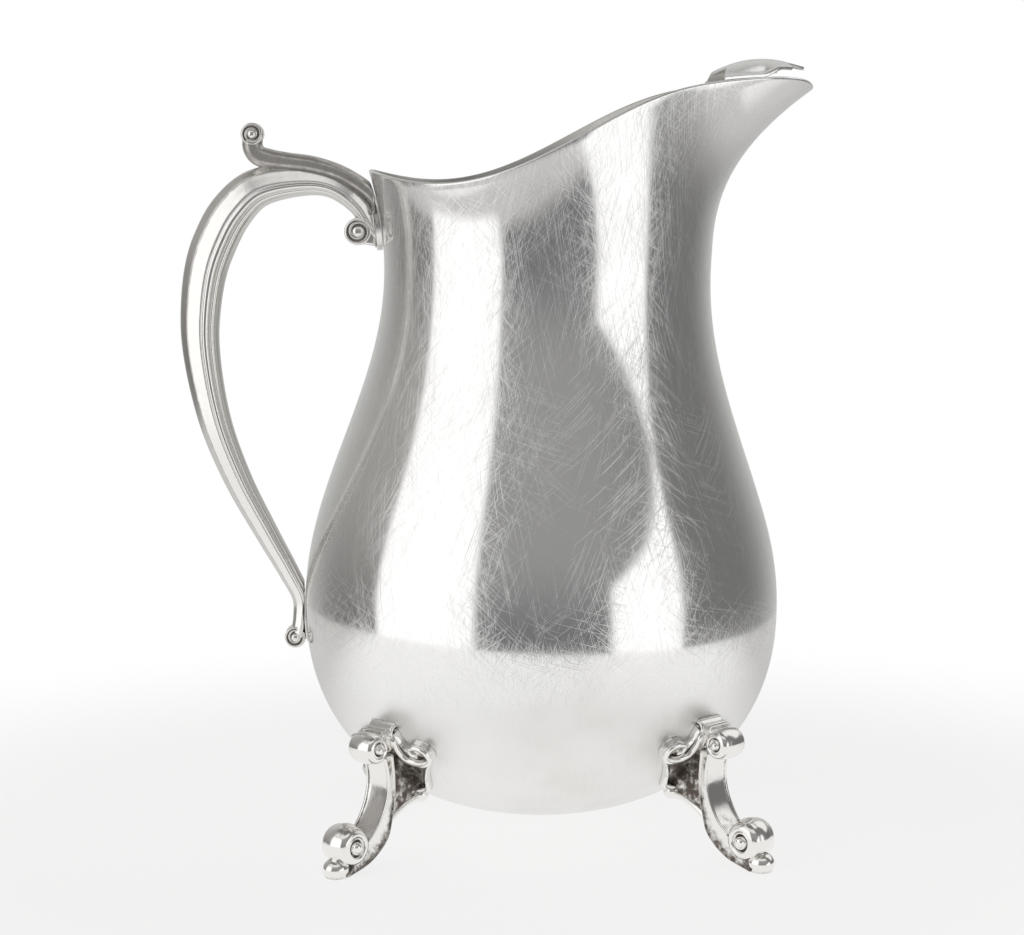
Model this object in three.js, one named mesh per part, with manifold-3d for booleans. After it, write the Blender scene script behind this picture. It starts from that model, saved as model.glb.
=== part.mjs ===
import * as THREE from 'three';
import { mergeVertices } from 'three/addons/utils/BufferGeometryUtils.js';
import Module from 'manifold-3d';

const wasm = await Module();
wasm.setup();

// Vessel, in millimetres from its upright axis and from the table
const bellyRadius = 73;
const bellyHeight = 70.8;
const bowlClearance = 5.9;
const bowlPower = 2.25;
const neckRadius = 47.1;
const neckHeight = 175;
const wall = 1.2;

// Rim: mean height above the neck, then the waves that raise the spout and sink the saddle
const rimAboveNeck = 37.3;
const rimWaves = [14.8, 3.7, -3.3, -0.8];
const rimTurn = 4.2;
const rimOverPlate = 4;
const crestRise = 3.8;
const crestPower = 14;
const tipPower = 95;

// Spout: a slow lean of the front wall, then the flared lip
const leanReach = 6.6;
const leanPower = 1.5;
const leanFrom = bellyHeight + 27;
const leanTo = neckHeight + 20;
const lipReach = 28.4;
const lipPower = 18;
const lipCurve = 2.3;
const lipFrom = neckHeight + 5;
const lipSpan = 49;

// Joints
const gap = 0.3;
const plateThickness = 1.6;

// Handle
const handleTopHeight = 186;
const handleLowHeight = 67;
const handleReach = 103.7;
const handleWidth = 13;
const handleDepth = 13.6;
const innerVoluteRadius = 4.1;
const tailVoluteRadius = 3.3;
const upperPlateHalf = { width: 5.6, height: 8.8 };
const lowerPlateHalf = { width: 3.4, height: 8.4 };

// Thumb scroll
const strapWidth = 9.6;
const strapThickness = 5;
const thumbReach = 38.8;
const thumbRise = 14.4;
const thumbVoluteRadius = 3.4;

// Ice guard
const guardSheet = 1.1;
const guardRise = 7.3;
const guardDrop = 1.6;
const guardLift = 2.3;
const guardBackAngle = 0.56;
const guardFrontAngle = 0.27;
const guardHollow = 3;
const skirtShare = 0.9;
const guardDip = 1.2;
const beakDip = 1.5;
const beakRootShare = 0.905;
const beakTipShare = 0.98;
const beakWidthShare = 0.34;

// Feet
const footAngle = Math.PI / 4;
const rearFootAngle = 0.89;
const footHeight = 43;
const seatHeight = 33.5;
const legWidth = 9.8;
const railWidth = 1;
const railRise = 0.4;
const toeRollRadius = 6.1;
const toeRollWidth = 10.6;
const rollWidth = 10;
const topRollRadius = 4.4;
const backRollRadius = 3;
const eyeRadius = 2;
const eyeRise = 0.8;
const fillerRollRadius = 3.4;
const beadRadius = 2.5;
const webWidth = 3;
const shieldThickness = 2.4;
const bandRise = 1.4;
const bandWidth = 1.6;

const spokes = 56;
const bowlRows = 8;
const sideRows = 15;

const silver = { color: 0xd8d6d1, roughness: 0.12, metalness: 1 };
const castSilver = { color: 0xcfccc6, roughness: 0.22, metalness: 1 };

function smooth(from, to, value) {
  const t = THREE.MathUtils.clamp((value - from) / (to - from), 0, 1);
  return t * t * (3 - 2 * t);
}

function wavedRim(angle) {
  let height = neckHeight + rimAboveNeck;
  rimWaves.forEach((wave, index) => {
    height += wave * Math.cos((index + 1) * angle);
  });
  return height;
}

// The upper plate's middle, and the lift that keeps the rim above it at the back
const upperPlateMiddle = handleTopHeight + 2.6;
const plateTop = upperPlateMiddle + upperPlateHalf.height;
const rimLift = Math.max(0, plateTop + rimOverPlate - wavedRim(Math.PI));

// The rim crests beside the spout and dips again at the tip of the lip
function rimHeight(angle) {
  const front = (1 + Math.cos(angle)) / 2;
  const crest = crestRise * (front ** crestPower - front ** tipPower);
  return wavedRim(angle) + crest + rimLift * (1 - front) ** 3;
}

// Outer radius of the vessel above the belly, angle 0 being the spout
function sideRadius(height, angle) {
  const t = THREE.MathUtils.clamp((height - bellyHeight) / (neckHeight - bellyHeight), 0, 1);
  const middle = (bellyRadius + neckRadius) / 2;
  const swing = (bellyRadius - neckRadius) / 2;
  const front = (1 + Math.cos(angle)) / 2;
  const aboveNeck = Math.max(height - neckHeight, 0) / (rimHeight(angle) - neckHeight);
  const aboveLip = Math.max(height - lipFrom, 0) / lipSpan;
  const turn = rimTurn * aboveNeck ** 2;
  const lean = leanReach * smooth(leanFrom, leanTo, height) * front ** leanPower;
  const lip = lipReach * aboveLip ** lipCurve * front ** lipPower;
  return middle + swing * Math.cos(Math.PI * t) + turn + lean + lip;
}

function bowlRadius(height) {
  const depth = THREE.MathUtils.clamp((bellyHeight - height) / (bellyHeight - bowlClearance), 0, 1);
  return bellyRadius * (1 - depth ** bowlPower) ** (1 / bowlPower);
}

function vesselRadius(height, angle) {
  return height < bellyHeight ? bowlRadius(height) : sideRadius(height, angle);
}

// Point of the outer face: t runs 0 to 1 up the bowl and 1 to 2 from the belly to the rim
function facePoint(t, angle) {
  let radius;
  let height;
  if (t < 1) {
    const turn = t * Math.PI / 2;
    radius = bellyRadius * Math.sin(turn) ** (2 / bowlPower);
    height = bellyHeight - (bellyHeight - bowlClearance) * Math.cos(turn) ** (2 / bowlPower);
  } else {
    height = bellyHeight + (rimHeight(angle) - bellyHeight) * (t - 1);
    radius = sideRadius(height, angle);
  }
  return new THREE.Vector3(radius * Math.cos(angle), radius * Math.sin(angle), height);
}

function faceNormal(t, angle) {
  const step = 1e-3;
  const low = Math.max(t - step, step);
  const high = Math.min(t + step, 2);
  const along = facePoint(high, angle).sub(facePoint(low, angle));
  const round = facePoint(t, angle + step).sub(facePoint(t, angle - step));
  return round.cross(along).normalize();
}

function offsetPoint(t, angle, offset) {
  return facePoint(t, angle).addScaledVector(faceNormal(t, angle), offset);
}

const rowSteps = [];
for (let i = 1; i <= bowlRows; i += 1) {
  rowSteps.push(i / bowlRows);
}
for (let i = 1; i <= sideRows; i += 1) {
  rowSteps.push(1 + i / sideRows);
}

function ringAt(place) {
  const ring = [];
  for (let i = 0; i < spokes; i += 1) {
    ring.push(place(i * 2 * Math.PI / spokes));
  }
  return ring;
}

// Closed body through a row of rings, with a point closing each end
function loft(rings, first, last) {
  const count = rings[0].length;
  const points = [first, ...rings.flat(), last];
  const index = [];
  const at = (ring, k) => 1 + ring * count + (k % count);
  for (let k = 0; k < count; k += 1) {
    index.push(0, at(0, k + 1), at(0, k));
    for (let i = 0; i + 1 < rings.length; i += 1) {
      index.push(at(i, k), at(i, k + 1), at(i + 1, k + 1));
      index.push(at(i, k), at(i + 1, k + 1), at(i + 1, k));
    }
    index.push(points.length - 1, at(rings.length - 1, k), at(rings.length - 1, k + 1));
  }
  const geometry = new THREE.BufferGeometry().setFromPoints(points);
  geometry.setIndex(index);
  return geometry;
}

function middleOf(ring) {
  const sum = new THREE.Vector3();
  ring.forEach((point) => sum.add(point));
  return sum.divideScalar(ring.length);
}

function solid(geometry) {
  const bare = new THREE.BufferGeometry();
  bare.setAttribute('position', geometry.getAttribute('position'));
  bare.setIndex(geometry.index);
  const merged = mergeVertices(bare, 1e-4);
  return new wasm.Manifold(new wasm.Mesh({
    numProp: 3,
    vertProperties: Float32Array.from(merged.getAttribute('position').array),
    triVerts: Uint32Array.from(merged.index.array),
  }));
}

function fromSolid(body) {
  const mesh = body.getMesh();
  const geometry = new THREE.BufferGeometry();
  geometry.setAttribute('position', new THREE.BufferAttribute(Float32Array.from(mesh.vertProperties), 3));
  geometry.setIndex(Array.from(mesh.triVerts));
  return geometry;
}

function unite(bodies) {
  return bodies.reduce((whole, body) => whole.add(body));
}

// The vessel grown outward by a distance and filled, to seat its neighbours
function vesselFilled(offset) {
  const rings = rowSteps.map((t) => ringAt((angle) => offsetPoint(t, angle, offset)));
  const first = new THREE.Vector3(0, 0, bowlClearance - offset);
  return solid(loft(rings, first, middleOf(rings[rings.length - 1])));
}

function vesselShell() {
  const outer = rowSteps.map((t) => ringAt((angle) => facePoint(t, angle)));
  const inner = rowSteps.map((t) => ringAt((angle) => offsetPoint(t, angle, -wall))).reverse();
  const edge = ringAt((angle) => {
    const rise = facePoint(2, angle).sub(facePoint(1.99, angle)).normalize();
    return offsetPoint(2, angle, -wall / 2).addScaledVector(rise, wall / 2);
  });
  const under = new THREE.Vector3(0, 0, bowlClearance);
  const floor = new THREE.Vector3(0, 0, bowlClearance + wall);
  return loft([...outer, edge, ...inner], under, floor);
}

// Outline in the upright plane through the axis, given a width across that plane
function slab(outline, width) {
  const shape = new THREE.Shape(outline);
  const geometry = new THREE.ExtrudeGeometry(shape, { depth: width, bevelEnabled: false });
  return geometry.translate(0, 0, -width / 2).rotateX(Math.PI / 2);
}

// Outline facing along x, run from one distance out to another
function pressed(outline, from, to) {
  const shape = new THREE.Shape(outline);
  const geometry = new THREE.ExtrudeGeometry(shape, { depth: to - from, bevelEnabled: false });
  return geometry.translate(0, 0, from).rotateX(Math.PI / 2).rotateZ(Math.PI / 2);
}

function oval(width, height, middle, points = 28) {
  const outline = new THREE.EllipseCurve(0, middle, width, height).getPoints(points);
  outline.pop();
  return outline;
}

function roll(radius, width, x, z, segments = 18) {
  return new THREE.CylinderGeometry(radius, radius, width, segments).translate(x, 0, z);
}

// Rolled end with eased shoulders
function barrel(radius, width, x, z, segments = 18) {
  const outline = [[-1, 0.62], [-0.74, 0.88], [-0.35, 1], [0.35, 1], [0.74, 0.88], [1, 0.62]];
  const rings = outline.map(([side, share]) => {
    const ring = [];
    for (let i = 0; i < segments; i += 1) {
      const turn = i * 2 * Math.PI / segments;
      const reach = new THREE.Vector3(Math.sin(turn), 0, Math.cos(turn)).multiplyScalar(share * radius);
      ring.push(reach.add(new THREE.Vector3(x, side * width / 2, z)));
    }
    return ring;
  });
  return loft(rings, middleOf(rings[0]), middleOf(rings[rings.length - 1]));
}

function volute(radius, width, x, z) {
  const eye = Math.min(eyeRadius, radius * 0.5);
  const body = solid(barrel(radius, width, x, z));
  return body.add(solid(roll(eye, width + 2 * eyeRise, x, z, 12)));
}

// Sections of a bar along a path in the upright plane; profile gives (depth, width) shares
function bar(path, stations, profile, size) {
  const rings = [];
  for (let i = 0; i <= stations; i += 1) {
    const u = i / stations;
    const point = path.getPointAt(u);
    const tangent = path.getTangentAt(u);
    const outward = new THREE.Vector3(tangent.z, 0, -tangent.x);
    const { depth, width } = size(u);
    rings.push(profile.map(([d, w]) => point.clone()
      .addScaledVector(outward, d * depth / 2)
      .add(new THREE.Vector3(0, w * width / 2, 0))));
  }
  return loft(rings, middleOf(rings[0]), middleOf(rings[rings.length - 1]));
}

// Section of a bar, given on one face from its outer edge to its inner one
function bothFaces(half) {
  const other = half.slice(1, -1).reverse().map(([d, w]) => [d, -w]);
  return [...half, ...other];
}

function mirrored(quarter) {
  return bothFaces([...quarter, ...quarter.slice(0, -1).reverse().map(([d, w]) => [-d, w])]);
}

function uprightCurve(points) {
  const path = points.map(([x, z]) => new THREE.Vector3(x, 0, z));
  return new THREE.CatmullRomCurve3(path, false, 'centripetal');
}

// Handle: one cast bar with a side bead, an inner volute at the neck and a tail volute below
const neckSeat = -sideRadius(handleTopHeight, Math.PI);
const bellySeat = -vesselRadius(handleLowHeight, Math.PI);
const handleTop = handleTopHeight + 15;
const handleLow = handleLowHeight - 5;

function handlePath() {
  const drop = (share) => handleTop - share * (handleTop - handleLow);
  const out = (share) => -handleReach * share;
  const points = [
    [neckSeat + 1, drop(0.135)],
    [neckSeat - 2.6, drop(0.098)],
    [neckSeat - 7, drop(0.05)],
    [neckSeat - 15, drop(0.008)],
    [neckSeat - 24, drop(-0.002)],
    [out(0.828), drop(0.016)],
    [out(0.903), drop(0.067)],
    [out(0.95), drop(0.129)],
    [out(0.978), drop(0.186)],
    [out(0.997), drop(0.27)],
    [out(1), drop(0.36)],
    [out(0.965), drop(0.52)],
    [out(0.9), drop(0.655)],
    [(out(0.9) + bellySeat) / 2 - 1.4, drop(0.78)],
    [bellySeat - 4.9, drop(0.87)],
    [bellySeat - 1.4, drop(0.925)],
    [bellySeat - 1.5, drop(0.97)],
    [bellySeat - 2.6, drop(1.01)],
  ];
  return uprightCurve(points);
}

const beadedProfile = bothFaces([
  [1, 0], [0.92, 0.36], [0.62, 0.58], [0.5, 0.66], [0.3, 0.84],
  [-0.12, 1], [-0.36, 0.92], [-0.48, 0.66], [-0.8, 0.52], [-1, 0],
]);

function handleSize(u, extra) {
  const depth = handleDepth * (0.5 + 0.5 * smooth(0.04, 0.33, u) - Math.max(0, u - 0.36));
  const width = handleWidth * (0.66 + 0.34 * smooth(0, 0.35, u) - 0.4 * smooth(0.45, 1, u));
  return { depth: depth + 2 * extra, width: width + 2 * extra };
}

function handleBar(extra) {
  return solid(bar(handlePath(), 32, beadedProfile, (u) => handleSize(u, extra)));
}

function handleBody() {
  const inner = volute(innerVoluteRadius, handleWidth * 0.7, neckSeat - 7.2, handleTopHeight - 0.4);
  const web = slab([
    new THREE.Vector2(neckSeat - 7, handleTopHeight - innerVoluteRadius),
    new THREE.Vector2(neckSeat + 1, handleTopHeight - innerVoluteRadius - 0.8),
    new THREE.Vector2(neckSeat + 1, handleTopHeight + 2),
    new THREE.Vector2(neckSeat - 5, handleTopHeight),
  ], handleWidth * 0.56);
  const tail = volute(tailVoluteRadius, handleWidth * 0.5, bellySeat - 3.4, handleLowHeight - 6.6);
  return unite([handleBar(0), inner, solid(web), tail]);
}

// Thumb scroll: strap over the handle's shoulder, rising to an upright volute
const thumbTip = neckSeat - thumbReach;

function strapPath() {
  const out = (share) => neckSeat - share * thumbReach;
  const up = (share) => handleTop + share * thumbRise;
  const points = [
    [out(-0.04), up(-0.56)],
    [out(0.103), up(-0.18)],
    [out(0.3), up(0.14)],
    [out(0.526), up(0.333)],
    [out(0.747), up(0.42)],
    [out(0.88), up(0.478)],
    [out(0.966), up(0.565)],
    [out(1.002), up(0.745)],
    [out(1), up(0.89)],
  ];
  return uprightCurve(points);
}

const strapProfile = mirrored([[1, 0], [0.86, 0.6], [0.4, 1], [0, 1]]);

function strapSize(u) {
  return {
    depth: strapThickness * (1 + 0.1 * smooth(0.3, 0.6, u) + 0.14 * smooth(0.66, 0.86, u)),
    width: strapWidth * (1 - 0.3 * smooth(0.5, 1, u)),
  };
}

function strapBody() {
  const strap = solid(bar(strapPath(), 24, strapProfile, strapSize));
  return strap.add(volute(thumbVoluteRadius, strapWidth * 0.72, thumbTip, handleTop + thumbRise));
}

// Closed sheet: a grid of upper points, its underside straight below them
function sheet(columns, rows, place, thickness) {
  const points = [];
  [0, thickness].forEach((depth) => {
    for (let i = 0; i <= columns; i += 1) {
      for (let k = 0; k <= rows; k += 1) {
        const point = place(i / columns, k / rows);
        points.push(point.setZ(point.z - depth));
      }
    }
  });
  const upper = (i, k) => i * (rows + 1) + k;
  const lower = (i, k) => upper(columns + 1, 0) + upper(i, k);
  const index = [];
  const quad = (a, b, c, d) => index.push(a, b, c, a, c, d);
  for (let i = 0; i < columns; i += 1) {
    for (let k = 0; k < rows; k += 1) {
      quad(upper(i, k), upper(i, k + 1), upper(i + 1, k + 1), upper(i + 1, k));
      quad(lower(i, k), lower(i + 1, k), lower(i + 1, k + 1), lower(i, k + 1));
    }
    quad(upper(i, 0), upper(i + 1, 0), lower(i + 1, 0), lower(i, 0));
    quad(upper(i, rows), lower(i, rows), lower(i + 1, rows), upper(i + 1, rows));
  }
  for (let k = 0; k < rows; k += 1) {
    quad(upper(0, k), lower(0, k), lower(0, k + 1), upper(0, k + 1));
    quad(upper(columns, k), upper(columns, k + 1), lower(columns, k + 1), lower(columns, k));
  }
  const geometry = new THREE.BufferGeometry().setFromPoints(points);
  geometry.setIndex(index);
  return geometry;
}

// Ice guard: hood over the spout, its skirt on the rim at the back, with a beak in front
function guardBody() {
  const lip = facePoint(2, 0);
  const backX = facePoint(2, guardBackAngle).x + guardHollow;
  const frontX = lip.x * beakRootShare;
  const stand = wall / 2 + gap + guardSheet;
  return sheet(20, 8, (across, along) => {
    const side = 2 * across - 1;
    const edge = facePoint(2, guardBackAngle + (guardFrontAngle - guardBackAngle) * along);
    const beak = Math.max(0, 1 - (side / beakWidthShare) ** 2) ** 2 * along ** 6;
    const crownX = backX + (frontX - backX) * along;
    const x = edge.x + (crownX - edge.x) * (1 - side ** 2) + (lip.x * beakTipShare - frontX) * beak;
    const skirt = guardLift * smooth(skirtShare, 1, Math.abs(side)) * (1 - smooth(0.55, 0.85, along));
    const lift = stand + guardLift;
    const bow = guardRise - guardDrop * (1 - along) ** 4 - guardDip * along ** 4 - beakDip * beak;
    const arch = 1 - Math.min(1, Math.abs(side) / skirtShare) ** 2.2;
    return new THREE.Vector3(x, 0.98 * edge.y * side, edge.z + lift - skirt + (bow - lift) * arch);
  }, guardSheet);
}

// Foot, drawn 43 high along x, sized to its height and then turned to its place
const seat = bowlRadius(seatHeight);
const footUnit = footHeight / 43;
const footReach = seat + 14 * footUnit;

function onFoot([r, z]) {
  return new THREE.Vector2(seat + r * footUnit, z * footUnit);
}

function spline(points, steps) {
  return new THREE.SplineCurve(points.map(onFoot)).getPoints(steps);
}

function rollAt(place, radius, width) {
  const { x, y } = onFoot(place);
  return solid(roll(radius, width, x, y));
}

function voluteAt(place, radius, width) {
  const { x, y } = onFoot(place);
  return volute(radius, width, x, y);
}

function leg(rise, width, offset) {
  const front = spline([[9.1, 33.5], [7.7, 28], [7.9, 23], [9.5, 18], [12.7, 13], [17.1, 9]], 10);
  const back = spline([[5.3, 34], [4.7, 27], [5, 20.7], [6.1, 14.8], [8.2, 8.7], [14.9, 3.3], [24, 0.5]], 12);
  const raised = front.map((point) => point.add(new THREE.Vector2(rise, rise / 2)));
  return solid(slab([...raised, ...back.reverse()], width).translate(0, offset, 0));
}

function mirrorOutline(half) {
  const other = half.slice(1, -1).reverse().map(([y, z]) => [-y, z]);
  return [...half, ...other].map(([y, z]) => new THREE.Vector2(y * footUnit, z * footUnit));
}

// Outline of a band that follows the points
function ribbon(points, width) {
  const curve = new THREE.SplineCurve(points.map(([y, z]) => new THREE.Vector2(y, z)));
  const steps = 36;
  const left = [];
  const right = [];
  for (let i = 0; i <= steps; i += 1) {
    const point = curve.getPointAt(i / steps);
    const ahead = curve.getTangentAt(i / steps).multiplyScalar(width / 2);
    left.push([point.x - ahead.y, point.y + ahead.x]);
    right.push([point.x + ahead.y, point.y - ahead.x]);
  }
  return [...left, ...right.reverse()];
}

// Raised work on the shield, given on one side and repeated on the other
function bothSides(outline, face) {
  return [1, -1].map((side) => {
    const turned = outline.map(([y, z]) => new THREE.Vector2(side * y * footUnit, z * footUnit));
    return solid(pressed(turned, seat / 3, footReach)).intersect(face);
  });
}

function footBody(near, shieldFace, bandFace) {
  const shield = solid(pressed(mirrorOutline([
    [0, 41.6], [5.4, 41.4], [6.2, 38], [7.4, 36.2], [9, 37.4], [11, 38.1], [13.2, 37.9], [15, 36.8],
    [15.8, 34.9], [15.2, 32.8], [13.4, 31.2], [10.9, 29.1], [7.6, 26], [5.2, 23], [2.6, 20.6], [0, 19.6],
  ]), seat / 3, footReach)).intersect(shieldFace);
  const bands = bothSides(ribbon([
    [2.4, 41.2], [4.8, 39.4], [5, 36.2], [5.8, 33.2], [8.3, 31.4], [13, 32],
    [15.1, 34.3], [14.4, 36.6], [11.6, 37.3], [9, 36.3], [9.2, 34.6], [11.2, 34.4],
  ], bandWidth), bandFace);
  const web = slab([
    [-20, 18.4], [-11, 18], [-8.9, 17], [-4.9, 16.2], [-1.2, 14.7], [2.1, 12.6],
    [5.4, 9.7], [10, 8.9], [8, 14], [5.6, 20.7], [5.4, 27], [6, 34], [5, 41], [-20, 41],
  ].map(onFoot), webWidth);
  const beadPlace = onFoot([-10, 18.8]);
  const bead = new THREE.SphereGeometry(beadRadius, 12, 8).translate(beadPlace.x, 0, beadPlace.y);
  const padPlace = onFoot([24.6, 2.5]);
  const pad = new THREE.SphereGeometry(footUnit, 16, 10).scale(4.4, 3.8, 3.6);
  pad.translate(padPlace.x, 0, padPlace.y);
  const railSide = legWidth / 2 - railWidth / 2;
  const table = new THREE.BoxGeometry(4 * seat, 4 * seat, seat).translate(seat, 0, -seat / 2);
  const whole = unite([
    leg(0, legWidth, 0),
    leg(railRise, railWidth, railSide),
    leg(railRise, railWidth, -railSide),
    voluteAt([21.1, 9.1], toeRollRadius, toeRollWidth),
    voluteAt([11.3, 36.2], topRollRadius, rollWidth),
    rollAt([7.4, 38], fillerRollRadius, legWidth * 0.9),
    rollAt([3.9, 40.4], backRollRadius, rollWidth),
    shield,
    ...bands,
    solid(web),
    solid(bead),
    solid(pad),
  ]);
  return whole.subtract(near).subtract(solid(table));
}

const part = new THREE.Group();
part.name = 'silver_plated_pitcher';

function addMesh(name, geometry, look) {
  const mesh = new THREE.Mesh(geometry, new THREE.MeshStandardMaterial(look));
  mesh.name = name;
  part.add(mesh);
}

const nearVessel = vesselFilled(gap);
const plateFace = vesselFilled(gap + plateThickness);
const handleFace = vesselFilled(2 * gap + plateThickness);
const shieldFace = vesselFilled(gap + shieldThickness);
const bandFace = vesselFilled(gap + shieldThickness + bandRise);

function plate(half, middle) {
  const outline = oval(half.width, half.height, middle);
  const blank = solid(pressed(outline, -1.3 * bellyRadius, -0.75 * neckRadius));
  return blank.intersect(plateFace).subtract(nearVessel);
}

addMesh('body_shell', vesselShell(), silver);
addMesh('ice_guard', guardBody(), silver);
addMesh('handle', fromSolid(handleBody().subtract(handleFace)), castSilver);
addMesh('thumb_scroll', fromSolid(strapBody().subtract(handleFace).subtract(handleBar(gap))), castSilver);
addMesh('handle_upper_plate', fromSolid(plate(upperPlateHalf, upperPlateMiddle)), castSilver);
addMesh('handle_lower_plate', fromSolid(plate(lowerPlateHalf, handleLowHeight)), castSilver);

const foot = footBody(nearVessel, shieldFace, bandFace);
const footNames = {
  foot_front_right: -footAngle,
  foot_front_left: footAngle - Math.PI,
  foot_rear_left: Math.PI - rearFootAngle,
  foot_rear_right: rearFootAngle,
};
Object.entries(footNames).forEach(([name, angle]) => {
  addMesh(name, fromSolid(foot).rotateZ(angle), castSilver);
});

// Origin under the middle of the whole, on the table
const box = new THREE.Box3().setFromObject(part);
const centre = box.getCenter(new THREE.Vector3());
part.children.forEach((mesh) => {
  mesh.geometry.translate(-centre.x, -centre.y, -box.min.z);
  mesh.geometry.computeVertexNormals();
});

export default part;
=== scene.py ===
import bisect
import math

import bpy
from mathutils import Matrix, Vector


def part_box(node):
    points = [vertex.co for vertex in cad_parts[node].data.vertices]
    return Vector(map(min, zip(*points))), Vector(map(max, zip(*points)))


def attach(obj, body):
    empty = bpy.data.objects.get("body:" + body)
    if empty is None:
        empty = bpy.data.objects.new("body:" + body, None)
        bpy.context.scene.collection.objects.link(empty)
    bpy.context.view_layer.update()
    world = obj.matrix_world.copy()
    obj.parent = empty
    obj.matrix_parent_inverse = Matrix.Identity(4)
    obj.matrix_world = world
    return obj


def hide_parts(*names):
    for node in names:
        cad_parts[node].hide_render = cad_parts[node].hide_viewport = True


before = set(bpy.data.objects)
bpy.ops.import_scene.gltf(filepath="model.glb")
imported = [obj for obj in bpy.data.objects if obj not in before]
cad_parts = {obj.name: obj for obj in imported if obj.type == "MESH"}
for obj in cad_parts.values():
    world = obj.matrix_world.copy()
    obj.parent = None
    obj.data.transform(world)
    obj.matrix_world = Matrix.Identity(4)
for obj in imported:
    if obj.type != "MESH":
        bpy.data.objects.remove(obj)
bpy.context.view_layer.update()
mm = 0.001
gap = 0.3  # soldered joints are drawn this far apart

vessel = {
    "bellyRadius": 73, "bellyHeight": 70.8, "bowlClearance": 5.9, "bowlPower": 2.25,
    "neckRadius": 47.1, "neckHeight": 175, "wall": 1.2,
    "rimAboveNeck": 37.3, "rimWaves": (14.8, 3.7, -3.3, -0.8), "rimTurn": 4.2, "rimRound": 0.5,
    "crestRise": 3.8, "crestPower": 14, "tipPower": 95,
    "leanReach": 6.6, "leanPower": 1.5, "leanFrom": 97.8, "leanTo": 195,
    "lipReach": 28.4, "lipPower": 18, "lipCurve": 2.3, "lipFrom": 180, "lipSpan": 49,
    "spokes": 240, "rows": 120, "spokePull": 0.55, "topShare": 2.0035, "insideFacing": (-0.1, -0.3),
}
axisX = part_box("body_shell")[0][0] / mm + vessel["bellyRadius"]  # the vessel's own axis


def smooth(low, high, value):
    t = min(max((value - low) / (high - low), 0), 1)
    return t * t * (3 - 2 * t)


def rimHeight(angle):
    waves = sum(wave * math.cos((i + 1) * angle) for i, wave in enumerate(vessel["rimWaves"]))
    front = (1 + math.cos(angle)) / 2
    crest = vessel["crestRise"] * (front ** vessel["crestPower"] - front ** vessel["tipPower"])
    return vessel["neckHeight"] + vessel["rimAboveNeck"] + waves + crest


def sideRadius(height, angle):  # above the belly, angle 0 at the spout
    v = vessel
    t = min(max((height - v["bellyHeight"]) / (v["neckHeight"] - v["bellyHeight"]), 0), 1)
    middle = (v["bellyRadius"] + v["neckRadius"]) / 2
    swing = (v["bellyRadius"] - v["neckRadius"]) / 2
    front = (1 + math.cos(angle)) / 2
    aboveNeck = max(height - v["neckHeight"], 0) / (rimHeight(angle) - v["neckHeight"])
    aboveLip = max(height - v["lipFrom"], 0) / v["lipSpan"]
    turn = v["rimTurn"] * aboveNeck ** 2
    lean = v["leanReach"] * smooth(v["leanFrom"], v["leanTo"], height) * front ** v["leanPower"]
    lip = v["lipReach"] * aboveLip ** v["lipCurve"] * front ** v["lipPower"]
    return middle + swing * math.cos(math.pi * t) + turn + lean + lip


def bowlRadius(height):
    v = vessel
    depth = min(max((v["bellyHeight"] - height) / (v["bellyHeight"] - v["bowlClearance"]), 0), 1)
    return v["bellyRadius"] * (1 - depth ** v["bowlPower"]) ** (1 / v["bowlPower"])


def vesselRadius(height, angle):
    return bowlRadius(height) if height < vessel["bellyHeight"] else sideRadius(height, angle)


def facePoint(t, angle):  # t 0 to 1 up the bowl, 1 to 2 from the belly to the rim
    v = vessel
    if t < 1:
        turn = t * math.pi / 2
        radius = v["bellyRadius"] * math.sin(turn) ** (2 / v["bowlPower"])
        drop = (v["bellyHeight"] - v["bowlClearance"]) * max(math.cos(turn), 0) ** (2 / v["bowlPower"])
        height = v["bellyHeight"] - drop
    else:
        height = v["bellyHeight"] + (rimHeight(angle) - v["bellyHeight"]) * (t - 1)
        radius = sideRadius(height, angle)
    return Vector((radius * math.cos(angle), radius * math.sin(angle), height))


def wallPoint(across, height, lift, turn=0):  # on the vessel's skin, across = sideways from the ray at angle turn
    def at(a, z):
        angle = turn + math.asin(a / vesselRadius(z, turn))
        radius = vesselRadius(z, angle)
        return Vector((radius * math.cos(angle), radius * math.sin(angle), z))
    step = 0.05
    side = at(across + step, height) - at(across - step, height)
    up = at(across, height + step) - at(across, height - step)
    return at(across, height) + side.cross(up).normalized() * lift


def toFrame(point):  # from millimetres about the vessel's axis
    return Vector((point.x + axisX, point.y, point.z)) * mm


def pathThrough(points, dense=24):  # smooth curve through the points, even along its length
    spots = [Vector((x, 0, z)) for x, z in points]
    ends = [2 * spots[0] - spots[1]] + spots + [2 * spots[-1] - spots[-2]]
    line = []
    for i in range(len(spots) - 1):
        a, b, c, d = ends[i:i + 4]
        before, here, after = ((q - p).length ** 0.5 for p, q in ((a, b), (b, c), (c, d)))
        leave = ((b - a) / before - (c - a) / (before + here) + (c - b) / here) * here
        arrive = ((c - b) / here - (d - b) / (here + after) + (d - c) / after) * here
        for k in range(dense):
            s = k / dense
            line.append((2 * s ** 3 - 3 * s ** 2 + 1) * b + (s ** 3 - 2 * s ** 2 + s) * leave
                        + (3 * s ** 2 - 2 * s ** 3) * c + (s ** 3 - s ** 2) * arrive)
    line.append(spots[-1])
    marks = [0]
    for p, q in zip(line, line[1:]):
        marks.append(marks[-1] + (q - p).length)

    def at(u):
        want = min(max(u, 0), 1) * marks[-1]
        i = min(max(bisect.bisect_right(marks, want) - 1, 0), len(line) - 2)
        return line[i].lerp(line[i + 1], (want - marks[i]) / (marks[i + 1] - marks[i]))

    def along(u, near=0.006):
        return at(u), (at(u + near) - at(u - near)).normalized()
    return along


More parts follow.
